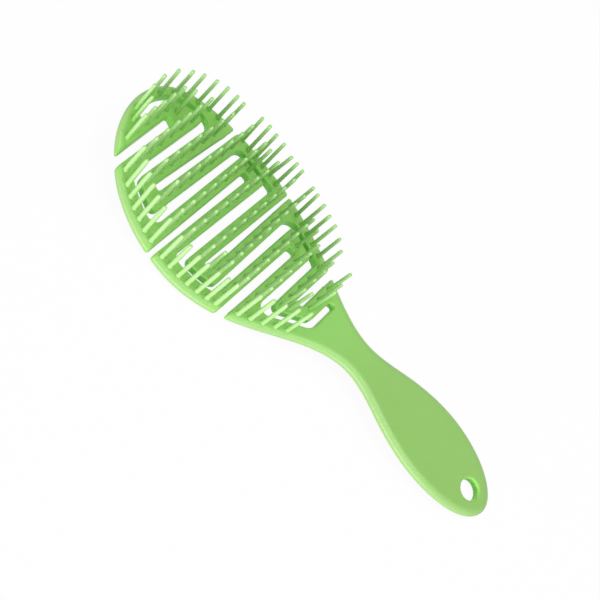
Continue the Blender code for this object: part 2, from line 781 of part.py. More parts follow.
def build():
    global REST_SLOPE
    clear_scene()

    shoulder_pins = edge_pins(-1, RIB_COUNT - 3, RIB_COUNT - 1) + edge_pins(+1, RIB_COUNT - 1, RIB_COUNT - 1)
    shoulder_pins.append((left_end(RIB_COUNT - 3) - SHOULDER_PIN_LEAD, rib_y(RIB_COUNT - 3)))
    handle = member("handle", handle_outline(), shoulder_pins)
    combine(handle, hanging_hole(), "DIFFERENCE")
    handle.data.name = "handle"
    anchor_y, anchor_z = rest_anchor()
    REST_SLOPE = max(
        (vert.co.z - anchor_z) / (vert.co.y - anchor_y)
        for vert in handle.data.vertices
        if vert.co.y < HANDLE_WIDEST_Y
    )

    # member, outline, pins
    nodes = {"handle": handle}
    nodes["tip_rim"] = member("tip_rim", rim_outline(), rim_pins())
    nodes["edge_left_1"] = member(
        "edge_left_1", mirrored(comb_outline(1, 4, PLATE_LEFT, left_cut)), edge_pins(-1, 1, 4)
    )
    nodes["edge_left_2"] = member(
        "edge_left_2", mirrored(comb_outline(5, 8, PLATE_LEFT, left_cut)), edge_pins(-1, 5, 8)
    )
    nodes["edge_right_1"] = member(
        "edge_right_1", comb_outline(3, 6, PLATE_RIGHT, right_end), edge_pins(+1, 3, 6)
    )
    nodes["edge_right_2"] = member(
        "edge_right_2", comb_outline(7, 10, PLATE_RIGHT, right_end), edge_pins(+1, 7, 10)
    )
    for index in range(RIB_COUNT):
        name = f"rib_{index + 1:02d}"
        nodes[name] = member(name, rib_outline(index), rib_pins(index), rests=index == REST_RIB)

    # The moulding's frame, tilted so that the rest line lies level
    frame = bpy.data.objects.new("moulding", None)
    bpy.context.scene.collection.objects.link(frame)
    frame.rotation_euler = (-atan(REST_SLOPE), 0, 0)

    # One empty on the axis of each fold that bends, with the members that turn with it
    bodies = {
        "handle_body": (None, ("handle", "rib_10", "rib_12")),
        "left_flap_2": (slot_y(8), ("rib_09", "edge_left_2", "rib_06")),
        "left_flap_1": (slot_y(4), ("rib_05", "edge_left_1", "rib_02")),
        "tip": (slot_y(0), ("rib_01", "tip_rim", "rib_03")),
        "right_flap_2": (slot_y(10), ("rib_11", "edge_right_2", "rib_08")),
        "right_flap_1": (slot_y(6), ("rib_07", "edge_right_1", "rib_04")),
    }
    for body, (axis_y, names) in bodies.items():
        empty = bpy.data.objects.new(body, None)
        bpy.context.scene.collection.objects.link(empty)
        empty.parent = frame
        if axis_y is not None:
            empty.location = (0, axis_y, plate_top(axis_y) - THICKNESS / 2)
        for name in names:
            item = nodes[name]
            item.data.transform(Matrix.Translation(-empty.location))
            item.parent = empty

    # The frame's origin is the middle of the underside of the brush's box
    bpy.context.view_layer.update()
    corners = [item.matrix_world @ vert.co for item in nodes.values() for vert in item.data.vertices]
    low = Vector(min(corner[axis] for corner in corners) for axis in range(3))
    high = Vector(max(corner[axis] for corner in corners) for axis in range(3))
    frame.location = (-(low.x + high.x) / 2, -(low.y + high.y) / 2, -low.z)
    bpy.context.view_layer.update()


build()
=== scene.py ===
import json
from math import acos, atan, atan2, cos, pi, radians, sin, sqrt, tan

import bmesh
import bpy
from mathutils import Matrix, Vector


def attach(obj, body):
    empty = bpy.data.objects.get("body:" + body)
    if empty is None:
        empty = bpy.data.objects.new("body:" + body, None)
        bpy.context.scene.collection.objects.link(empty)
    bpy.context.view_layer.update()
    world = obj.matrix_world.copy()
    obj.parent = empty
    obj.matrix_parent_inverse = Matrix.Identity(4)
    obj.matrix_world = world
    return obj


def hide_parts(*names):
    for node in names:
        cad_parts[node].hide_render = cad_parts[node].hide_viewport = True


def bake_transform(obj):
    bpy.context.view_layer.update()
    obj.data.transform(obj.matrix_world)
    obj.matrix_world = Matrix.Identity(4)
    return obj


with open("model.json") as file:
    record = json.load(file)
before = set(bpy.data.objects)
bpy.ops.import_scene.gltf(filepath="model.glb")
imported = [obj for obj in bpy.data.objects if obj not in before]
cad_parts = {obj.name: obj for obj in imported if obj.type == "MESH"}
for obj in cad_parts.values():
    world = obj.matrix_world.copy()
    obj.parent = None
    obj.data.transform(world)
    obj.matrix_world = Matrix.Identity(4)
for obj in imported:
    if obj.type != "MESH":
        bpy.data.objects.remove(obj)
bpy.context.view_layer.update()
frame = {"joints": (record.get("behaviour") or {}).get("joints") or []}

# The four flaps.  The brush is one injection moulding in satin green polypropylene, and winding
# slots cut its head into C-shaped flaps: an edge plate with a rib at both its ends.  Short folds
# at the ribs' other ends join each flap to its neighbours.
MM = 0.001
TIP = 117.5 * MM
HEEL = -TIP
THICKNESS = 4.8 * MM

# The outline seen from above, with the tip at +Y: half-widths, and how fast they change there
WIDEST = TIP - 61.5 * MM
HALF_HEAD = 40.5 * MM
HEAD_POWER = 2.12
SHOULDER = TIP - 110.0 * MM
HALF_SHOULDER = 25.0 * MM
SHOULDER_SLOPE = 0.62
NECK = TIP - 147.5 * MM
HALF_NECK = 8.8 * MM
GRIP = HEEL + 37.5 * MM
HALF_GRIP = 18.8 * MM
GRIP_TOP = (NECK + GRIP) / 2
HALF_GRIP_TOP = 14.85 * MM
GRIP_TOP_SLOPE = -0.29
HEEL_POWER = 2.0


def swing(y, y0, w0, s0, y1, w1, s1):
    """Smooth curve from (y0, w0) at slope s0 to (y1, w1) at slope s1."""
    span, t = y1 - y0, (y - y0) / (y1 - y0)
    start = (2 * t**3 - 3 * t**2 + 1) * w0 + (t**3 - 2 * t**2 + t) * span * s0
    return start + (3 * t**2 - 2 * t**3) * w1 + (t**3 - t**2) * span * s1


def round_off(t, power):
    """Falls from 1 at the middle to 0 at the end, as an ellipse does for a power of 2."""
    return max(0.0, 1.0 - abs(t) ** power) ** (1.0 / power)


def half_width(y):
    """Half of the brush's width."""
    if y >= WIDEST:
        return HALF_HEAD * round_off((y - WIDEST) / (TIP - WIDEST), HEAD_POWER)
    if y >= SHOULDER:
        return swing(y, SHOULDER, HALF_SHOULDER, SHOULDER_SLOPE, WIDEST, HALF_HEAD, 0.0)
    if y >= NECK:
        return swing(y, NECK, HALF_NECK, 0.0, SHOULDER, HALF_SHOULDER, SHOULDER_SLOPE)
    if y >= GRIP_TOP:
        return swing(y, GRIP_TOP, HALF_GRIP_TOP, GRIP_TOP_SLOPE, NECK, HALF_NECK, 0.0)
    if y >= GRIP:
        return swing(y, GRIP, HALF_GRIP, 0.0, GRIP_TOP, HALF_GRIP_TOP, GRIP_TOP_SLOPE)
    return HALF_GRIP * round_off((GRIP - y) / (GRIP - HEEL), HEEL_POWER)


# The ribs, and the folds that close every other slot between them, both counted from 1 at the tip
RIBS = 12
FIRST_RIB = TIP - 10.85 * MM
PITCH = 9.65 * MM
SLOT = 4.3 * MM
RIB = PITCH - SLOT


def rib_y(rib):
    """Middle of a rib."""
    return FIRST_RIB - (rib - 1) * PITCH


def slot_y(fold):
    """Middle of the slot that a fold closes."""
    return rib_y(2 * fold - 1) - PITCH / 2


# The long section: the handle crests in its middle, the neck falls to the head's belly and the
# tip rises again.  The top surface's slope changes evenly between these places
BELLY = TIP - 68.6 * MM
BELLY_DEPTH = 11.9 * MM
SLOPES = (
    (HEEL, 0.075),
    (GRIP_TOP, 0.0),
    (TIP - 122.5 * MM, -0.235),
    (TIP - 99.5 * MM, -0.235),
    (BELLY, 0.0),
    (TIP - 32.5 * MM, 0.21),
    (TIP, 0.522),
)


def section_bends():
    """Each place where the section's curvature changes, with the change."""
    bends, before = [], 0.0
    for (y0, s0), (y1, s1) in zip(SLOPES, SLOPES[1:]):
        curvature = (s1 - s0) / (y1 - y0)
        bends.append((y0, curvature - before))
        before = curvature
    return bends


def section_rise(y):
    """Height of the top surface above its height at the heel."""
    rise = SLOPES[0][1] * (y - HEEL)
    for place, change in section_bends():
        rise += change * max(0.0, y - place) ** 2 / 2
    return rise


HEEL_HEIGHT = -BELLY_DEPTH - section_rise(BELLY)


def mid_height(y):
    """Height of the middle of the plate's thickness."""
    return HEEL_HEIGHT + section_rise(y) - THICKNESS / 2


# The mould's frame is turned onto the brush's back, where the CAD nodes lie
REST_SLOPE = 0.0800951
MAIN_FOLD = 5
main_fold = Vector(next(joint for joint in frame["joints"] if joint["name"] == "head_flex")["pos_m"])
drawn_fold = Vector((0.0, slot_y(MAIN_FOLD), mid_height(slot_y(MAIN_FOLD))))
LIE = Matrix.Rotation(atan(REST_SLOPE), 4, "X")
LIE = Matrix.Translation(main_fold - LIE @ drawn_fold) @ LIE


class Sock:
    """A node's output socket, whose sums, products and the like add Math nodes."""

    def __init__(self, build, socket):
        self.build, self.socket = build, socket

    def math(self, operation, *others):
        return self.build.node("ShaderNodeMath", {"operation": operation}, [self, *others])

    def __add__(self, other):
        return self.math("ADD", other)

    def __sub__(self, other):
        return self.math("SUBTRACT", other)

    def __mul__(self, other):
        return self.math("MULTIPLY", other)

    def __truediv__(self, other):
        return self.math("DIVIDE", other)

    def __rsub__(self, other):
        return self.build.node("ShaderNodeMath", {"operation": "SUBTRACT"}, [other, self])

    def __rtruediv__(self, other):
        return self.build.node("ShaderNodeMath", {"operation": "DIVIDE"}, [other, self])

    __radd__ = __add__
    __rmul__ = __mul__

    def above(self, floor):
        return self.math("MAXIMUM", floor)

    def below(self, ceiling):
        return self.math("MINIMUM", ceiling)


class Build:
    """Adds nodes to a tree: each call gives the type, its settings and its sockets' values or links."""

    def __init__(self, tree):
        self.tree = tree

    def node(self, kind, settings=None, values=None, output=0):
        node = self.tree.nodes.new(kind)
        for name, value in (settings or {}).items():
            setattr(node, name, value)
        pairs = enumerate(values) if isinstance(values, (list, tuple)) else (values or {}).items()
        for key, value in pairs:
            if isinstance(value, Sock):
                self.tree.links.new(value.socket, node.inputs[key])
            elif value is not None:
                node.inputs[key].default_value = value
        return Sock(self, node.outputs[output]) if node.outputs else node

    def mix(self, share, under, over, blend_type="MIX"):
        """One colour laid over another."""
        settings = {"data_type": "RGBA", "blend_type": blend_type}
        return self.node("ShaderNodeMix", settings, {0: share, 6: under, 7: over}, 2)


# The plates' plastic: a very fine spark-eroded grain from the mould and faint flow clouding, with
# painted light: a paler highlight on the rim's rounded side, a brighter green on the slot walls, and
# a tone over the handle that is less green and a little greyer where it lies open to the light
# Two clouded tones, a paler one painted as highlight on the rim's side, a brighter one as wall light
PLATE_TONES = (
    (0.213, 0.502, 0.088, 1.0),
    (0.243, 0.530, 0.108, 1.0),
    (0.288, 0.475, 0.172, 1.0),
    (0.290, 0.740, 0.118, 1.0),
)
PALE_SHARE = 0.9
ROUGH_LEAST = 0.33
ROUGH_RANGE = 0.12
# Painted light over the handle: towards the heel the colour is multiplied by this tone
HANDLE_LIGHT_TONE = (1.04, 0.895, 1.12, 1.0)
HANDLE_LIGHT_FROM = -10.0 * MM
HANDLE_LIGHT_OVER = 35.0 * MM


def satin_green(name, tones, grain, glow, shine, coat):
    """The green plastic in two clouded tones; a third and fourth painted as light and shade at shift +1 and
    -1.
    """
    material = bpy.data.materials.new(name)
    material.use_nodes = True
    build = Build(material.node_tree)
    at = build.node("ShaderNodeTexCoord", None, None, "Object")

    def noise(scale, detail, rough):
        values = {"Vector": at, "Scale": scale, "Detail": detail, "Roughness": rough}
        return build.node("ShaderNodeTexNoise", None, values)

    colour = build.mix(noise(38.0, 3.0, 0.45), tones[0], tones[1])
    # Painted light: the handle, open to the light, is made less green and a little greyer
    along = build.node("ShaderNodeSeparateXYZ", None, [at], "Y")
    handle_light = ((HANDLE_LIGHT_FROM - along) / HANDLE_LIGHT_OVER).above(0.0).below(1.0)
    colour = build.mix(handle_light, colour, HANDLE_LIGHT_TONE, "MULTIPLY")
    # Painted light and shade: the third tone where the shift is above 0, the fourth where it is below 0
    shift = build.node("ShaderNodeAttribute", {"attribute_name": "painted_light_and_shade"}, None, "Fac")
    colour = build.mix(shift.above(0.0) * PALE_SHARE, colour, tones[2])
    colour = build.mix((0.0 - shift).above(0.0), colour, tones[3])
    roughness = noise(95.0, 4.0, 0.6) * ROUGH_RANGE + ROUGH_LEAST
    fine = {"Strength": grain, "Distance": 0.06 * MM, "Height": noise(2600.0, 2.0, 0.6)}
    bump = build.node("ShaderNodeBump", None, fine)

    shader = material.node_tree.nodes["Principled BSDF"]
    values = {
        "Metallic": 0.0,
        "IOR": 1.49,
        "Specular IOR Level": shine,
        "Subsurface Weight": glow,
        "Subsurface Radius": (0.6, 1.0, 0.35),
        "Subsurface Scale": 1.5 * MM,
        "Coat Weight": coat,
        "Coat Roughness": 0.3,
    }
    for label, value in values.items():
        shader.inputs[label].default_value = value
    for label, value in {"Base Color": colour, "Roughness": roughness, "Normal": bump}.items():
        material.node_tree.links.new(value.socket, shader.inputs[label])
    return material


plate_green = satin_green("satin_green_plate", PLATE_TONES, grain=0.08, glow=0.20, shine=0.35, coat=0.0)


def geometry_tree(name, inputs):
    """An empty Geometry Nodes tree with named inputs, its builder and its input sockets."""
    tree = bpy.data.node_groups.new(name, "GeometryNodeTree")
    tree.interface.new_socket("Geometry", in_out="INPUT", socket_type="NodeSocketGeometry")
    for label, (kind, value) in inputs.items():
        socket = tree.interface.new_socket(label, in_out="INPUT", socket_type=kind)
        if value is not None:
            socket.default_value = value
    tree.interface.new_socket("Geometry", in_out="OUTPUT", socket_type="NodeSocketGeometry")
    build = Build(tree)
    outputs = build.node("NodeGroupInput").socket.node.outputs
    return tree, build, {socket.name: Sock(build, socket) for socket in outputs if socket.name}


def laid_height(build, y):
    """Nodes for the top surface's height over a plan place."""
    height = (y - HEEL) * SLOPES[0][1] + HEEL_HEIGHT
    for place, change in section_bends():
        past = (y - place).above(0.0)
        height = height + past * past * (change / 2)
    return height


def finished(build, geometry, material):
    """The end of a tree: real geometry in its material."""
    geometry = build.node("GeometryNodeRealizeInstances", None, {"Geometry": geometry})
    geometry = build.node("GeometryNodeSetMaterial", None, {"Geometry": geometry, "Material": material})
    build.node("NodeGroupOutput", None, {"Geometry": geometry})


def applied(item, tree, values):
    """Runs a Geometry Nodes tree on an object, keeps the result as a plain mesh and lies it down."""
    modifier = item.modifiers.new(tree.name, "NODES")
    modifier.node_group = tree
    sockets = [socket for socket in tree.interface.items_tree if socket.in_out == "INPUT"]
    identifiers = {socket.name: socket.identifier for socket in sockets}
    for label, value in values.items():
        modifier[identifiers[label]] = value
    bpy.context.view_layer.update()
    graph = bpy.context.evaluated_depsgraph_get()
    shaped = item.evaluated_get(graph)
    mesh = bpy.data.meshes.new_from_object(shaped, preserve_all_data_layers=True, depsgraph=graph)
    item.modifiers.remove(modifier)
    old, item.data = item.data, mesh
    bpy.data.meshes.remove(old)
    mesh.name = item.name
    mesh.transform(LIE)
    return item


# Plates are drawn flat and lifted onto the long section
lay_tree, build, entry = geometry_tree(
    "lay_plate_on_section",
    {
        "Thickness": ("NodeSocketFloat", THICKNESS),
        "Material": ("NodeSocketMaterial", None),
    },
)
place = build.node("GeometryNodeInputPosition")
y_there = build.node("ShaderNodeSeparateXYZ", None, [place], "Y")
lift = build.node("ShaderNodeCombineXYZ", None, {"Z": laid_height(build, y_there) - entry["Thickness"]})
laid = build.node("GeometryNodeSetPosition", None, {"Geometry": entry["Geometry"], "Offset": lift})
finished(build, laid, entry["Material"])

# The slots narrow towards their mouths and lie a little askew.  For each slot from the tip: how
# far its middle is off the even pitch, and how much its width differs, in mm, at the head's left,
# middle and right.  Left and right are SKEW_AT from the middle line, and the trend goes on beyond
SLOT_SKEW = (
    ((-1.0, 0.0, 0.0), (-0.4, -0.35, 0.0)),
    ((-0.5, 0.0, -0.3), (-0.9, -0.9, -0.4)),
    ((-0.1, -0.1, -0.7), (-0.7, -1.1, -1.8)),
    ((-0.4, -0.1, 0.1), (0.1, -0.3, -1.2)),
    ((-0.55, -0.05, 0.1), (-1.6, -1.05, -0.8)),
    ((-0.2, -0.2, -0.45), (0.2, 0.1, -0.1)),
    ((-0.7, -0.6, -0.15), (-0.5, -1.0, -2.4)),
    ((-1.0, -0.4, 0.0), (-1.3, -0.7, -0.1)),
    ((-0.35, -0.35, -0.4), (-0.4, -0.6, -0.6)),
    ((-0.5, -0.5, -0.5), (0.0, -0.3, -1.0)),
    ((-0.3, -0.3, -0.35), (-0.4, -0.4, -0.5)),
)
SKEW_AT = 30.0 * MM
SKEW_REACH = 1.25


def across(values, x):
    """One of the three measures, or what lies between them, at a place across the head."""
    share = max(-SKEW_REACH, min(SKEW_REACH, x / SKEW_AT))
    return values[1] + share * (values[2] - values[1] if share > 0 else values[1] - values[0])


def skewed(x, y):
    """A place of the evenly pitched comb, moved to where the askew slots put it."""
    edges = [(rib_y(1) + RIB / 2, 0.0)]
    for gap, (middles, widths) in enumerate(SLOT_SKEW, 1):
        middle, half = across(middles, x), across(widths, x) / 2
        edges += [(rib_y(gap) - RIB / 2, middle + half), (rib_y(gap + 1) + RIB / 2, middle - half)]
    edges.append((rib_y(RIBS) - RIB / 2 - SLOT, 0.0))
    moved = y
    for (high, at_high), (low, at_low) in zip(edges, edges[1:]):
        if low <= y < high:
            moved = y + (at_high + (at_low - at_high) * (high - y) / (high - low)) * MM
    return x * half_width(moved) / half_width(y), moved


# The kinds of edge that an outline has: the brush's rim, a slot, a cut inside a fold, the hole
OUTER, EDGE, CUT, HOLE = "outer", "edge", "cut", "hole"
STEPS_PER_RADIAN = 7
STRAIGHT_TURN = 0.002


def rounded(corners):
    """Outline points and edge kinds, with an arc at each corner that has a radius."""
    points = []
    for index, (x, y, kind, radius) in enumerate(corners):
        here = Vector((x, y))
        if radius == 0:
            points.append((here, kind))
            continue
        back = (Vector(corners[index - 1][:2]) - here).normalized()
        ahead = (Vector(corners[(index + 1) % len(corners)][:2]) - here).normalized()
        half = acos(max(-1.0, min(1.0, back.dot(ahead)))) / 2
        centre = here + (back + ahead).normalized() * radius / sin(half)
        start = here + back * radius / tan(half) - centre
        end = here + ahead * radius / tan(half) - centre
        first = atan2(start.y, start.x)
        sweep = (atan2(end.y, end.x) - first + pi) % (2 * pi) - pi
        steps = max(4, round(abs(sweep) * STEPS_PER_RADIAN))
        for k in range(steps + 1):
            angle = first + sweep * k / steps
            points.append((centre + Vector((cos(angle), sin(angle))) * radius, kind))
    return points


def inset_loop(points, insets):
    """The outline moved inwards, each edge by the inset of its kind."""
    moved = []
    for index, (here, kind) in enumerate(points):
        before, kind_before = points[index - 1]
        along_in = (here - before).normalized()
        along_out = (points[(index + 1) % len(points)][0] - here).normalized()
        normal_in = Vector((-along_in.y, along_in.x))
        normal_out = Vector((-along_out.y, along_out.x))
        turn = along_in.x * along_out.y - along_in.y * along_out.x
        if abs(turn) < STRAIGHT_TURN:
            mean = (insets[kind_before] + insets[kind]) / 2
            moved.append(here + (normal_in + normal_out).normalized() * mean)
            continue
        foot = here + normal_in * insets[kind_before]
        step = here + normal_out * insets[kind] - foot
        moved.append(foot + along_in * (step.x * along_out.y - step.y * along_out.x) / turn)
    return moved


# The plate's edges: the brush's rim is fully rounded, the slots' edges are barely broken.  The
# outline is trimmed a little, and the rounds hold their shape by a ring close inside them
RIM_ROUND = 2.0 * MM
RIM_ROUND_WIDTH = 3.1 * MM
SLOT_ROUND = 0.6 * MM
HOLE_ROUND = 1.1 * MM
ROUND_STEPS = 6
TRIM = 0.04 * MM
HOLD = 0.12 * MM


def edge_round(radius, height):
    """How far a rounded edge draws in at a height above the plate's face."""
    return radius - sqrt(radius**2 - max(0.0, radius - height) ** 2)


def plate_layers():
    """Heights of the plate's rings, with the inset of each kind of edge and the turn of the rim."""
    insets = {OUTER: RIM_ROUND_WIDTH + HOLD, EDGE: SLOT_ROUND + HOLD, CUT: 0.0, HOLE: HOLE_ROUND}
    lower = [(0.0, insets, 0.0)]
    for k in range(ROUND_STEPS + 1):
        turn = sin(pi / 2 * k / ROUND_STEPS)
        height = RIM_ROUND * (1 - cos(pi / 2 * k / ROUND_STEPS))
        insets = {
            OUTER: RIM_ROUND_WIDTH * (1 - turn) + TRIM,
            EDGE: edge_round(SLOT_ROUND, height),
            CUT: 0.0,
            HOLE: edge_round(HOLE_ROUND, height),
        }
        lower.append((height, insets, turn))
    return lower + [(THICKNESS - height, insets, turn) for height, insets, turn in reversed(lower)]


LAYERS = plate_layers()
LEAST_EDGE_LEFT = 0.1


def cleared(points):
    """Leaves out the points that full rounding would carry past a corner next to them."""
    tight = True
    while tight:
        tight = False
        moved = inset_loop(points, LAYERS[0][1])
        for index in range(len(points)):
            after = (index + 1) % len(points)
            along = points[after][0] - points[index][0]
            if (moved[after] - moved[index]).dot(along) < LEAST_EDGE_LEFT * along.length_squared:
                further = points[(index + 2) % len(points)][0] - points[after][0]
                before = points[index][0] - points[index - 1][0]
                if along.angle(further) > along.angle(before):
                    points[index - 1] = (points[index - 1][0], points[index][1])
                    del points[index]
                else:
                    del points[after]
                tight = True
                break
    return points


def wall_rings(form, painted_light_and_shade, loop):
    """The rounded wall on one closed line of the plan, with painted highlight and wall light: rings of
    vertices.
    """
    rings = []
    for height, insets, turn in LAYERS:
        # Slot, cut and hole walls are marked for painted light, the rim's rounded side for a painted
        # highlight
        wall = -1.0 if SLOT_ROUND / 2 < height < THICKNESS - SLOT_ROUND / 2 else 0.0
        ring = [form.verts.new((point.x, point.y, height)) for point in inset_loop(loop, insets)]
        for k, vert in enumerate(ring):
            if {loop[k][1], loop[k - 1][1]} != {OUTER, EDGE}:
                vert[painted_light_and_shade] = turn if loop[k][1] == OUTER else wall
        rings.append(ring)
    for low, high in zip(rings, rings[1:]):
        for k in range(len(low)):
            after = (k + 1) % len(low)
            form.faces.new((low[k], low[after], high[after], high[k]))
    return rings


def close_face(form, rims):
    """Closes the top or the back of a plate, round its holes."""
    if len(rims) == 1:
        form.faces.new(rims[0])
        return
    edges = [form.edges.get((ring[k - 1], ring[k])) for ring in rims for k in range(len(ring))]
    bmesh.ops.triangle_fill(form, edges=edges, use_beauty=True)


# A plate is cut across in narrow strips, so that it bends smoothly
STRIP = PITCH / 8
STATIONS = [HEEL + STRIP * k for k in range(1, int((TIP - HEEL) / STRIP) + 1)]
CUT_MERGE = 0.002 * MM
CORNER_ROUND = 0.9 * MM
CLOSED_HALF = 5.0 * MM
SHARP_ANGLE = radians(50)


def plate(name, outline, holes=()):
    """A plate with rounded edges from its plan outline, bent onto the long section."""
    form = bmesh.new()
    painted_light_and_shade = form.verts.layers.float.new("painted_light_and_shade")
    loops = [cleared(rounded(outline)), *holes]
    walls = [wall_rings(form, painted_light_and_shade, loop) for loop in loops]
    close_face(form, [rings[0] for rings in walls])
    close_face(form, [rings[-1] for rings in walls])

    corners = []
    for k, (point, kind) in enumerate(loops[0]):
        if {kind, loops[0][k - 1][1]} == {OUTER, EDGE}:
            corners += [form.edges.get((low[k], high[k])) for low, high in zip(walls[0], walls[0][1:])]
    if corners:
        bmesh.ops.bevel(form, geom=corners, offset=CORNER_ROUND, segments=4, profile=0.5, affect="EDGES")

    # Nothing is moved near the tip and the heel, where the outline closes
    for vert in form.verts:
        if half_width(vert.co.y) > CLOSED_HALF:
            vert.co.x, vert.co.y = skewed(vert.co.x, vert.co.y)
    low = min(vert.co.y for vert in form.verts)
    high = max(vert.co.y for vert in form.verts)
    for station in STATIONS:
        if low < station < high:
            whole = form.verts[:] + form.edges[:] + form.faces[:]
            bmesh.ops.bisect_plane(
                form, geom=whole, dist=CUT_MERGE, plane_co=(0, station, 0), plane_no=(0, 1, 0)
            )
    bmesh.ops.triangulate(form, faces=form.faces[:])
    bmesh.ops.recalc_face_normals(form, faces=form.faces[:])

    mesh = bpy.data.meshes.new(name)
    form.to_mesh(mesh)
    form.free()
    item = bpy.data.objects.new(name, mesh)
    bpy.context.scene.collection.objects.link(item)
    applied(item, lay_tree, {"Material": plate_green})
    item.data.shade_smooth()
    item.data.set_sharp_from_angle(angle=SHARP_ANGLE)
    return item


# An open slot stops short of the far side, and the strap left there bends when the head flexes.
# Straps 1, 3, 4, 5 and 6 bend between two bodies, and strap 2 is parted in its middle
STRAPS = (12.0 * MM, 7.3 * MM, 4.7 * MM, 5.5 * MM, 6.7 * MM, 7.9 * MM)
STRAP_HALF = 0.72 * MM
RIGHT_FOLDS = (1, 3, 5)
PARTED_FOLD = 2
FOLD_ROUND_RIGHT = 1.5 * MM
FOLD_ROUND_LEFT = 3.0 * MM
FOLD_STEPS = 9
SLOT_END_ROUND = 1.4 * MM

# The passage between a fold and the part that runs past it, and the width of that part
PASS_RIGHT, PLATE_RIGHT = 2.1 * MM, 6.6 * MM
PASS_LEFT, PLATE_LEFT = 3.2 * MM, 8.5 * MM
PASS_SHOULDER, PLATE_SHOULDER = 4.7 * MM, 9.0 * MM

# The inner edge of the tip's rim, which fold 1 follows
RIM_REACH = TIP - WIDEST - 4.8 * MM
RIM_SIDE = HALF_HEAD - 7.5 * MM
RIM_POWER = 2.3
RIM_FOOT = 25.4 * MM
RIM_FOOT_SLOPE = 0.10


def rim_curve(y, inset):
    """Inner edge of the tip's rim, drawn in by a further inset."""
    edge = (RIM_SIDE - inset) * round_off((y - WIDEST) / (RIM_REACH - inset), RIM_POWER)
    return min(edge, RIM_FOOT + RIM_FOOT_SLOPE * (rib_y(3) - y) - inset)


def fold_edge(fold, y):
    """Distance of a fold's outer edge from the middle line."""
    if fold == 1:
        return rim_curve(y, PASS_RIGHT)
    if fold in RIGHT_FOLDS:
        return half_width(y) - PLATE_RIGHT - PASS_RIGHT
    if fold == 6:
        return half_width(y) - PLATE_SHOULDER - PASS_SHOULDER
    return half_width(y) - PLATE_LEFT - PASS_LEFT


def slot_reach(fold):
    """Distance of an open slot's closed end from the middle line."""
    return fold_edge(fold, slot_y(fold)) - STRAPS[fold - 1]


def backwards(corners):
    """The same corners in the other order, each with the kind of the edge that now leaves it."""
    result = []
    for index in reversed(range(len(corners))):
        x, y, kind, radius = corners[index]
        result.append((x, y, corners[index - 1][2], radius))
    return result


def other_side(corners):
    """The corners mirrored to the other side of the middle line, still anticlockwise."""
    return backwards([(-x, y, kind, radius) for x, y, kind, radius in corners])


# A run's direction at its end is taken over its last few corners
LOOK_BACK = 4
ROUND_MARGIN = 0.25 * MM


def end_rounded(run, radius):
    """A run of corners whose last is rounded against an edge towards the middle line.

    Corners that the round would swallow are left out.
    """
    here = Vector(run[-1][:2])
    back = Vector(run[-min(LOOK_BACK, len(run))][:2]) - here
    clear = radius / tan(back.angle(Vector((-here.x, 0.0))) / 2) + ROUND_MARGIN
    kept = [corner for corner in run[:-1] if (Vector(corner[:2]) - here).length > clear]
    return kept + [run[-1][:3] + (radius,)]


def fold_end(fold, toward, extra=0.0):
    """Corners of a rib's folded end on +X, anticlockwise, up to the strap or the parting.

    The rib lies on the tip side (+1) or the handle side (-1) of the slot that the fold closes.
    """
    cut = slot_y(fold) + toward * (0.0 if fold == PARTED_FOLD else STRAP_HALF)
    near = slot_y(fold) + toward * SLOT / 2
    far = near + toward * (RIB + extra)
    places = [cut + (far - cut) * k / FOLD_STEPS for k in range(FOLD_STEPS + 1)]
    corners = [(slot_reach(fold), near, EDGE, SLOT_END_ROUND), (slot_reach(fold), cut, CUT, 0)]
    radius = FOLD_ROUND_RIGHT if fold in RIGHT_FOLDS else FOLD_ROUND_LEFT
    corners += end_rounded([(fold_edge(fold, y), y, EDGE, 0) for y in places], radius)
    return corners if toward > 0 else backwards(corners)


# How closely the curved edges are drawn
RIM_STEP = 1.2 * MM
RIM_CLEAR = 2.4 * MM
INNER_STEP = 1.0 * MM


def rim_run(y_from, y_to):
    """Corners along the right outline, clear of the rounds at its ends."""
    steps = max(2, round(abs(y_to - y_from) / RIM_STEP))
    places = [y_from + (y_to - y_from) * k / steps for k in range(steps + 1)]
    clear = [y for y in places if min(abs(y - y_from), abs(y - y_to)) > RIM_CLEAR]
    return [(half_width(y), y, OUTER, 0) for y in [y_from] + clear + [y_to]]


def inner_run(y_from, y_to, plate_width, rounds):
    """Corners along a right-hand plate's inner edge, rounded at both ends."""
    steps = max(4, round(abs(y_to - y_from) / INNER_STEP))
    places = [y_from + (y_to - y_from) * k / steps for k in range(steps + 1)]
    run = end_rounded([(half_width(y) - plate_width, y, EDGE, 0) for y in places], rounds[1])
    return end_rounded(run[::-1], rounds[0])[::-1]


def flap(ribs, folds, plate_width, rounds):
    """Outline of a flap whose edge plate is on +X and whose folds are on -X."""
    top, bottom = rib_y(ribs[0]) + RIB / 2, rib_y(ribs[1]) - RIB / 2
    corners = rim_run(bottom, top)
    corners[-1] = corners[-1][:2] + (EDGE, 0)
    corners += other_side(fold_end(folds[0], -1))
    corners += inner_run(rib_y(ribs[0]) - RIB / 2, rib_y(ribs[1]) + RIB / 2, plate_width, rounds)
    corners += other_side(fold_end(folds[1], +1))
    return corners


def settle(item, body, *nodes):
    """Gives a piece its body and hides the CAD nodes that it stands for."""
    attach(item, body)
    if nodes:
        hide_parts(*nodes)


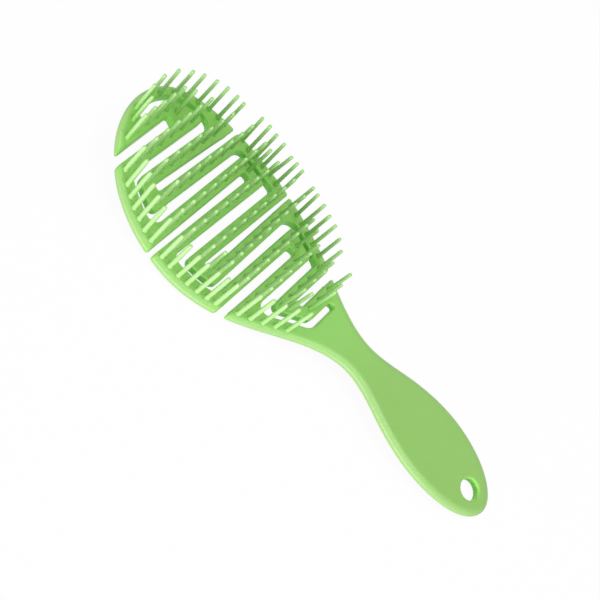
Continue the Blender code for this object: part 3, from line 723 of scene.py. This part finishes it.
# Each flap's first and last rib, its two folds, its edge plate's width, the rounds in its inner
# corners and the CAD nodes that it stands for
FLAPS = {
    "left_flap_1": (
        (2, 5), (1, 3), PLATE_LEFT, (3.4 * MM, 4.8 * MM), ("rib_02", "edge_left_1", "rib_05"),
    ),
    "left_flap_2": (
        (6, 9), (3, 5), PLATE_LEFT, (3.2 * MM, 5.0 * MM), ("rib_06", "edge_left_2", "rib_09"),
    ),
    "right_flap_1": (
        (4, 7), (2, 4), PLATE_RIGHT, (4.4 * MM, 2.0 * MM), ("rib_04", "edge_right_1", "rib_07"),
    ),
    "right_flap_2": (
        (8, 11), (4, 6), PLATE_RIGHT, (4.4 * MM, 2.0 * MM), ("rib_08", "edge_right_2", "rib_11"),
    ),
}
for body, (ribs, folds, plate_width, rounds, nodes) in FLAPS.items():
    outline = flap(ribs, folds, plate_width, rounds)
    item = plate(body + "_plate", other_side(outline) if body.startswith("left") else outline)
    settle(item, body, *nodes)


# The fold straps.  The part of a fold that bends is a short strap of the moulding itself, across
# its slot's closed end.  It is made apart here, as a piece of its own.
FOLD_BODIES = {
    1: ("left_flap_1", "tip"),
    3: ("left_flap_2", "left_flap_1"),
    4: ("right_flap_2", "right_flap_1"),
    5: ("handle_body", "left_flap_2"),
    6: ("handle_body", "right_flap_2"),
}


def strap(fold):
    """Outline of the piece of a fold that bends."""
    low, high = slot_y(fold) - STRAP_HALF, slot_y(fold) + STRAP_HALF
    corners = [
        (slot_reach(fold), low, CUT, 0),
        (fold_edge(fold, low), low, EDGE, 0),
        (fold_edge(fold, high), high, CUT, 0),
        (slot_reach(fold), high, EDGE, 0),
    ]
    return corners if fold in RIGHT_FOLDS else other_side(corners)


for fold, (near_body, far_body) in FOLD_BODIES.items():
    item = plate(f"fold_strap_{fold}", strap(fold))
    height = mid_height(slot_y(fold))
    side = 1 if fold in RIGHT_FOLDS else -1
    middle = (slot_reach(fold) + fold_edge(fold, slot_y(fold))) / 2 * side
    start = LIE @ Vector((0.0, skewed(middle, slot_y(fold) - STRAP_HALF)[1], height))
    end = LIE @ Vector((0.0, skewed(middle, slot_y(fold) + STRAP_HALF)[1], height))
    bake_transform(item)


# The tip.  A rim of the same moulding runs round the head's front, from the left end of rib 1 to
# the right end of rib 3, with a crescent opening behind it.  Rib 1 meets it in a curl on the left.
CURL = 7.0 * MM
CURL_ROUND = 1.2 * MM
CURL_CLEAR = 2.6 * MM
RIM_STEPS = 90
CRESCENT_STEPS = 48
CRESCENT_END = 0.97
RIM_FOOT_CLEAR = 0.5 * MM
RIM_FOOT_ROUND = 3.2 * MM


def tip_outline():
    """The rim's outer edge from the right foot round the front, fold 1, and the crescent."""
    slot_top, join = rib_y(1) - RIB / 2, rib_y(1) + RIB / 2
    foot, foot_top = rib_y(3) - RIB / 2, rib_y(3) + RIB / 2
    start = acos((foot - WIDEST) / (TIP - WIDEST))
    stop = -acos((slot_top - WIDEST) / (TIP - WIDEST))
    corners = []
    for k in range(RIM_STEPS + 1):
        angle = start + (stop - start) * k / RIM_STEPS
        y = WIDEST + (TIP - WIDEST) * cos(angle)
        corners.append((half_width(y) * (1 if angle > 0 else -1), y, OUTER, 0))
    corners[-1] = corners[-1][:2] + (EDGE, 0)
    corners += fold_end(1, +1)
    corners.append((-CURL, join, EDGE, CURL_ROUND))
    curl_top = WIDEST + RIM_REACH * round_off(CURL / RIM_SIDE, RIM_POWER)
    corners.append((-CURL, curl_top, EDGE, CURL_ROUND))
    first = (CURL_CLEAR - CURL) / RIM_SIDE
    for k in range(CRESCENT_STEPS + 1):
        share = first + (CRESCENT_END - first) * sin(pi / 2 * k / CRESCENT_STEPS)
        y = WIDEST + RIM_REACH * round_off(share, RIM_POWER)
        if y > foot_top + RIM_FOOT_CLEAR:
            corners.append((min(RIM_SIDE * share, rim_curve(y, 0)), y, EDGE, 0))
    corners.append((rim_curve(foot_top, 0), foot_top, EDGE, 0))
    return end_rounded(corners, RIM_FOOT_ROUND) + other_side(fold_end(PARTED_FOLD, +1))


item = plate("tip_plate", tip_outline())
settle(item, "tip", "tip_rim", "rib_01", "rib_03")


# The handle.  A flat grip and a slim neck, moulded with the head, widen into two shoulders.  They
# carry rib 10 on the left and rib 12 on the right, and the last slot winds between them.  A round
# hole through the heel hangs the brush up.
HOLE_RADIUS = 5.0 * MM
HOLE_Y = HEEL + 12.0 * MM
HOLE_STEPS = 64
HEEL_STEPS = 30
LAST_RIB_EXTRA = 1.3 * MM
SHOULDER_SLOT_WALL = 7.2 * MM
SHOULDER_ROUNDS = (6.0 * MM, 4.5 * MM)


def handle_outline():
    """The heel, the right side up to rib 12, the slot between the shoulders, and the left side."""
    right_top, right_bottom = rib_y(RIBS) + RIB / 2, rib_y(RIBS) - RIB / 2
    left_top, left_bottom = rib_y(10) + RIB / 2, rib_y(10) - RIB / 2
    slot_bottom = right_bottom - SLOT
    slot_end = half_width(right_bottom - SLOT / 2) - SHOULDER_SLOT_WALL
    heel = []
    for k in range(HEEL_STEPS):
        angle = pi / 2 * k / HEEL_STEPS
        heel.append((HALF_GRIP * sin(angle), GRIP - (GRIP - HEEL) * cos(angle), OUTER, 0))
    corners = heel + rim_run(GRIP, right_top)
    corners[-1] = corners[-1][:2] + (EDGE, 0)
    corners += other_side(fold_end(6, -1, LAST_RIB_EXTRA))
    corners.append((slot_end, right_bottom - LAST_RIB_EXTRA, EDGE, SLOT_END_ROUND))
    corners.append((slot_end, slot_bottom, EDGE, SLOT_END_ROUND))
    inner = inner_run(slot_bottom, left_bottom, PLATE_SHOULDER, SHOULDER_ROUNDS)
    corners += [(-x, y, kind, radius) for x, y, kind, radius in inner]
    corners += fold_end(5, -1)
    left = rim_run(GRIP, left_top)[::-1] + heel[:0:-1]
    return corners + [(-x, y, kind, radius) for x, y, kind, radius in left]


hole = []
for k in range(HOLE_STEPS):
    angle = -2 * pi * k / HOLE_STEPS
    hole.append((Vector((HOLE_RADIUS * cos(angle), HOLE_Y + HOLE_RADIUS * sin(angle))), HOLE))
item = plate("handle_plate", handle_outline(), [hole])
settle(item, "handle_body", "handle", "rib_10", "rib_12")


# The pins.  Tapered pins with domed ends and a small foot are moulded with the plates, in the same
# plastic, and stand along the mould's draw: a row on each rib, one more where five of the ribs
# turn, and a line round the edges of the head.
PIN_LENGTH = 20.7 * MM
TIP_PIN_LENGTH = 19.84 * MM
DOME_FULL = 0.995
LEAST_SHADE = 0.1
SEEDS_APART = 10
# Painted light: the pins' two clouded tones are paler than the plates' for the light they catch; the third
# is painted shade at their ends and the fourth painted shade at their roots
PIN_TONES = (
    (0.370, 0.605, 0.230, 1.0),
    (0.395, 0.635, 0.255, 1.0),
    (0.230, 0.500, 0.120, 1.0),
    (0.195, 0.500, 0.080, 1.0),
)
pin_green = satin_green("satin_green_pins", PIN_TONES, grain=0.04, glow=0.35, shine=0.5, coat=0.6)

# Rows from the tip: the first pin's place and the pitch in mm, the count, and the last pin's
# share of the full height
ROWS = (
    (-12.0, 6.35, 4, 1.0), (-19.0, 7.2, 6, 1.0), (-19.6, 7.25, 7, 1.0), (-21.8, 7.2, 8, 1.0),
    (-28.0, 7.2, 9, 1.0), (-29.1, 7.2, 9, 1.0), (-26.9, 7.1, 9, 1.0), (-25.3, 6.65, 9, 1.0),
    (-25.1, 7.1, 8, 0.87), (-13.9, 7.1, 5, 0.95), (-9.1, 7.2, 4, 0.95), (0.3, 7.0, 2, 0.88),
)

# One more pin stands at the left end of rib 10
SHOULDER_PIN = -20.84 * MM

# The other pins, each with its place in mm and, where they aren't 0, 0 and 1, its lean to the
# right and to the tip in degrees and its share of the full height
TURN_PINS = {
    1: (11.7, 103.1),
    5: (29.3, 64.5),
    8: (-25.0, 42.7),
    9: (21.8, 24.3, 0.0, 0.0, 0.85),
    11: (-8.6, 6.6),
}
RIM_PINS = (
    (-18.1, 106.0), (-11.0, 110.4), (-7.2, 113.5), (-0.4, 114.5), (7.9, 113.2), (14.9, 110.0),
    (20.0, 106.2), (25.0, 101.5), (28.8, 96.5), (31.0, 91.3), (32.2, 87.4),
)
EDGE_PINS = {
    "right_flap_1": (
        (36.3, 76.9, 0.0, 2.0), (35.6, 71.8, 5.5, 3.5), (36.2, 67.2, 4.5, 2.5), (36.9, 62.1, 3.0, 2.5),
        (37.2, 57.2, -1.0, -2.0), (36.7, 52.1, 1.0, 1.5), (36.4, 47.8, 0.5, 2.0),
    ),
    "right_flap_2": (
        (35.2, 39.7, 0.0, 0.5), (34.0, 35.1, 0.5, 3.0), (32.2, 30.3, 1.0, 1.5), (30.2, 25.2, 0.5, 1.5),
        (28.1, 20.3, 0.5, 1.5), (25.5, 14.7, 0.5, 1.5, 0.92), (20.8, 10.4, 0.5, 1.5, 0.92),
    ),
    "handle_body": (
        (15.3, 0.8, 0.5, 1.0, 0.87), (-27.6, 19.5, 0.5, 1.0), (-25.1, 14.5, 0.5, 1.0),
        (-22.4, 9.7, 0.5, 1.0), (-19.5, 5.0, 0.5, 1.0), (-16.6, 0.4, 0.5, 1.0),
    ),
    "left_flap_1": (
        (-26.7, 96.1, -0.5, 0.5), (-29.6, 90.8, 1.0, 1.5), (-31.6, 86.1, 1.5, 2.0),
        (-33.2, 81.5, 1.5, 2.0), (-34.3, 76.7, 1.5, 2.0), (-35.3, 71.7, 1.5, 2.0),
        (-35.9, 66.6, 1.0, 2.0),
    ),
    "left_flap_2": (
        (-36.5, 58.5, 0.0, 1.5), (-36.4, 53.4, 0.0, 1.5), (-36.1, 48.1, 0.5, 1.0),
        (-35.4, 43.2, 0.5, 1.0), (-34.3, 38.0, 0.5, 1.0), (-33.0, 33.2, 0.5, 1.0),
        (-31.6, 29.0, 0.5, 1.0),
    ),
}


def pin(x, y, right=0.0, ahead=0.0, share=1.0):
    """A pin's place in metres, its lean in radians and its share of the full height."""
    return (x * MM, y * MM, radians(right), radians(ahead), share)


def row_pin(x, rib, share=1.0):
    """A pin on the middle of a rib, moved with it."""
    return skewed(x, rib_y(rib)) + (0.0, 0.0, share)


def rib_pins(*ribs):
    """The pins of some ribs' rows and turns."""
    pins = []
    for rib in ribs:
        start, pitch, count, last = ROWS[rib - 1]
        for k in range(count):
            pins.append(row_pin((start + pitch * k) * MM, rib, last if k == count - 1 else 1.0))
        if rib in TURN_PINS:
            pins.append(pin(*TURN_PINS[rib]))
    return pins


BODY_PINS = {
    "handle_body": rib_pins(10, 12) + [row_pin(SHOULDER_PIN, 10)],
    "left_flap_2": rib_pins(6, 9),
    "left_flap_1": rib_pins(2, 5),
    "tip": rib_pins(1, 3) + [pin(*measures) for measures in RIM_PINS],
    "right_flap_2": rib_pins(8, 11),
    "right_flap_1": rib_pins(4, 7),
}
for body, pins in EDGE_PINS.items():
    BODY_PINS[body] += [pin(*measures) for measures in pins]

pin_tree, build, entry = geometry_tree(
    "pins_on_section",
    {
        "Length": ("NodeSocketFloat", PIN_LENGTH),
        "Root Radius": ("NodeSocketFloat", 0.975 * MM),
        "Tip Radius": ("NodeSocketFloat", 0.825 * MM),
        "Dome": ("NodeSocketFloat", 0.7 * MM),
        "Foot": ("NodeSocketFloat", 0.35 * MM),
        "Foot Height": ("NodeSocketFloat", 0.9 * MM),
        "Sink": ("NodeSocketFloat", 0.6 * MM),
        "Tone End": ("NodeSocketFloat", 1.6 * MM),
        "Tilt": ("NodeSocketFloat", radians(0.45)),
        "Left": ("NodeSocketFloat", -30.0 * MM),
        "Stout Over": ("NodeSocketFloat", 20.0 * MM),
        "Stouter": ("NodeSocketFloat", 0.18),
        "Lit Over": ("NodeSocketFloat", 24.0 * MM),
        "Seed": ("NodeSocketInt", 0),
        "Material": ("NodeSocketMaterial", None),
    },
)

# One pin, from a cylinder whose rings crowd towards both its ends: place up the pin and radius
cylinder = {"Vertices": 12, "Side Segments": 12, "Radius": 1.0, "Depth": 2.0}
blank = build.node("GeometryNodeMeshCylinder", {"fill_type": "NGON"}, cylinder)
at = build.node("GeometryNodeInputPosition")
x_blank, y_blank, z_blank = [build.node("ShaderNodeSeparateXYZ", None, [at], axis) for axis in "XYZ"]
nearness = 1.0 - z_blank.math("ABSOLUTE")
share = (1.0 - nearness * nearness * nearness) * z_blank.math("SIGN") * 0.5 + 0.5
rise = share * (entry["Length"] + entry["Sink"]) - entry["Sink"]
slimmer = entry["Tip Radius"] - entry["Root Radius"]
taper = entry["Root Radius"] + slimmer * (rise / entry["Length"]).above(0.0)
foot = (1.0 - (rise / entry["Foot Height"]).above(0.0)).above(0.0)
into_dome = ((rise - entry["Length"] + entry["Dome"]) / entry["Dome"]).above(0.0).below(DOME_FULL)
radius = (taper + entry["Foot"] * foot * foot) * (1.0 - into_dome * into_dome).math("SQRT")
surface = build.node("ShaderNodeCombineXYZ", None, {"X": x_blank * radius, "Y": y_blank * radius, "Z": rise})

# Painted shade: its tone is deeper towards the root, where the pins shade each other, and at the
# very end, to damp its highlight
root = (1.0 - share).below(1.0)
end = ((rise - entry["Length"] + entry["Tone End"]) / entry["Tone End"]).above(0.0).below(1.0)
on_points = {"data_type": "FLOAT", "domain": "POINT"}
blank = build.node(
    "GeometryNodeStoreNamedAttribute", on_points,
    {"Geometry": blank, "Name": "painted_light_and_shade", "Value": end - root * root},
)
pin_shape = build.node("GeometryNodeSetPosition", None, {"Geometry": blank, "Position": surface})
pin_shape = build.node("GeometryNodeSetShadeSmooth", None, {"Geometry": pin_shape})

# The pins' feet, lifted onto the long section
place = build.node("GeometryNodeInputPosition")
x_there, y_there = [build.node("ShaderNodeSeparateXYZ", None, [place], axis) for axis in "XY"]
lift = build.node("ShaderNodeCombineXYZ", None, {"Z": laid_height(build, y_there)})
feet = build.node("GeometryNodeSetPosition", None, {"Geometry": entry["Geometry"], "Offset": lift})
feet = build.node("GeometryNodeMeshToPoints", None, {"Mesh": feet})

# Each pin's lean, with a slight tilt of its own, its height, and its girth, greater at the left
tilts = []
for channel in range(2):
    limits = {2: entry["Tilt"] * -1.0, 3: entry["Tilt"], "Seed": entry["Seed"] + channel}
    tilts.append(build.node("FunctionNodeRandomValue", {"data_type": "FLOAT"}, limits, 1))
tilt = build.node("ShaderNodeCombineXYZ", None, {"X": tilts[0], "Y": tilts[1]})
lean = build.node("GeometryNodeInputNamedAttribute", {"data_type": "FLOAT_VECTOR"}, {"Name": "lean"})
lean = build.node("ShaderNodeVectorMath", {"operation": "ADD"}, [tilt, lean])
grown = build.node("GeometryNodeInputNamedAttribute", {"data_type": "FLOAT"}, {"Name": "grown"})
slim = ((x_there - entry["Left"]) / entry["Stout Over"]).above(0.0).below(1.0)
girth = (1.0 - slim) * entry["Stouter"] + 1.0
scale = build.node("ShaderNodeCombineXYZ", None, {"X": girth, "Y": girth, "Z": grown})
pins = build.node(
    "GeometryNodeInstanceOnPoints", None,
    {"Points": feet, "Instance": pin_shape, "Rotation": lean, "Scale": scale},
)
pins = build.node("GeometryNodeRealizeInstances", None, {"Geometry": pins})

# At the left, beside the key light, the pins' painted shade is mostly left out
shift = build.node("GeometryNodeInputNamedAttribute", {"data_type": "FLOAT"}, {"Name": "painted_light_and_shade"})
x_point = build.node("ShaderNodeSeparateXYZ", None, [build.node("GeometryNodeInputPosition")], "X")
shaded = ((x_point - entry["Left"]) / entry["Lit Over"]).above(LEAST_SHADE).below(1.0)
pins = build.node(
    "GeometryNodeStoreNamedAttribute", on_points,
    {"Geometry": pins, "Name": "painted_light_and_shade", "Value": shift * shaded},
)
finished(build, pins, entry["Material"])

for seed, (body, pins) in enumerate(BODY_PINS.items()):
    mesh = bpy.data.meshes.new(body + "_pins")
    mesh.from_pydata([(x, y, 0.0) for x, y, right, ahead, share in pins], [], [])
    lean = mesh.attributes.new("lean", "FLOAT_VECTOR", "POINT")
    for k, (x, y, right, ahead, share) in enumerate(pins):
        lean.data[k].vector = (-ahead, right, 0.0)
    grown = mesh.attributes.new("grown", "FLOAT", "POINT")
    for k, (x, y, right, ahead, share) in enumerate(pins):
        grown.data[k].value = share
    item = bpy.data.objects.new(body + "_pins", mesh)
    bpy.context.scene.collection.objects.link(item)
    length = TIP_PIN_LENGTH if body == "tip" else PIN_LENGTH
    applied(item, pin_tree, {"Length": length, "Seed": seed * SEEDS_APART, "Material": pin_green})
    settle(item, body)


# The stand.  A pale floor under a white backdrop, with three soft lights: a low key on the left
# edge's side, a weaker one overhead and a faint one at the back.  The camera looks down across the
# pins from above the left edge.
FLOOR_SIZE = 6.0
FLOOR_GLOW = 0.95
PAPER_GREY = (0.75, 0.75, 0.75, 1.0)
STUDIO_GREY = (0.555, 0.555, 0.555, 1.0)
WHITE = (1.0, 1.0, 1.0, 1.0)


def floor_white():
    """Pale paper that takes shadows, all but white to the camera and white in reflections."""
    material = bpy.data.materials.new("floor_white")
    material.use_nodes = True
    tree = material.node_tree
    tree.nodes.remove(tree.nodes["Principled BSDF"])
    build = Build(tree)
    paper = build.node("ShaderNodeBsdfDiffuse", None, {"Color": PAPER_GREY})
    white = build.node("ShaderNodeEmission", None, {"Color": WHITE, "Strength": 1.0})
    seen = build.node("ShaderNodeLightPath", None, None, "Is Camera Ray")
    mirrored = build.node("ShaderNodeLightPath", None, None, "Is Glossy Ray")
    mixed = build.node("ShaderNodeMixShader", None, {0: seen * FLOOR_GLOW + mirrored, 1: paper, 2: white})
    tree.links.new(mixed.socket, tree.nodes["Material Output"].inputs["Surface"])
    return material


bpy.ops.mesh.primitive_plane_add(size=FLOOR_SIZE, location=(0.0, 0.0, 0.0))
floor = bpy.context.object
floor.name = "studio_floor"
floor.data.materials.append(floor_white())

world = bpy.data.worlds.new("studio")
bpy.context.scene.world = world
world.use_nodes = True
build = Build(world.node_tree)
rays = ("Is Camera Ray", "Is Glossy Ray", "Is Transmission Ray")
seen, mirrored, through = (build.node("ShaderNodeLightPath", None, None, ray) for ray in rays)
backdrop = build.mix(seen + mirrored + through, STUDIO_GREY, WHITE)
world.node_tree.links.new(backdrop.socket, world.node_tree.nodes["Background"].inputs["Color"])


LIGHT_AIM = Vector((0.0, 0.0, 0.01))


def soft_light(name, place, width, height, power):
    """A soft box that faces the brush."""
    data = bpy.data.lights.new(name, "AREA")
    data.shape = "RECTANGLE"
    data.size = width
    data.size_y = height
    data.energy = power
    light = bpy.data.objects.new(name, data)
    light.location = place
    light.rotation_euler = (LIGHT_AIM - light.location).to_track_quat("-Z", "Y").to_euler()
    bpy.context.scene.collection.objects.link(light)


soft_light("key_light", (-1.10, -0.08, 0.13), 0.90, 0.20, 12.5)
soft_light("top_light", (-0.05, -0.15, 0.85), 0.40, 0.40, 3.5)
soft_light("back_light", (0.42, 0.18, 0.72), 0.40, 0.40, 0.9)

# The camera's place and the way it looks, at the photograph's viewing angle
CAMERA_PLACE = Vector((-0.30663, 0.01408, 0.40634))
CAMERA_FORWARD = Vector((0.60991, -0.01493, -0.79233))
CAMERA_RIGHT = Vector((0.57742, -0.67641, 0.45723))
camera_data = bpy.data.cameras.new("camera")
camera_data.lens = 69.0
camera_data.sensor_width = 36.0
camera_data.clip_start = 0.01
camera = bpy.data.objects.new("camera", camera_data)
turned = Matrix((CAMERA_RIGHT, CAMERA_RIGHT.cross(CAMERA_FORWARD), -CAMERA_FORWARD)).transposed()
camera.matrix_world = Matrix.Translation(CAMERA_PLACE) @ turned.to_4x4()
bpy.context.scene.collection.objects.link(camera)
bpy.context.scene.camera = camera
bpy.context.scene.view_settings.view_transform = "Standard"
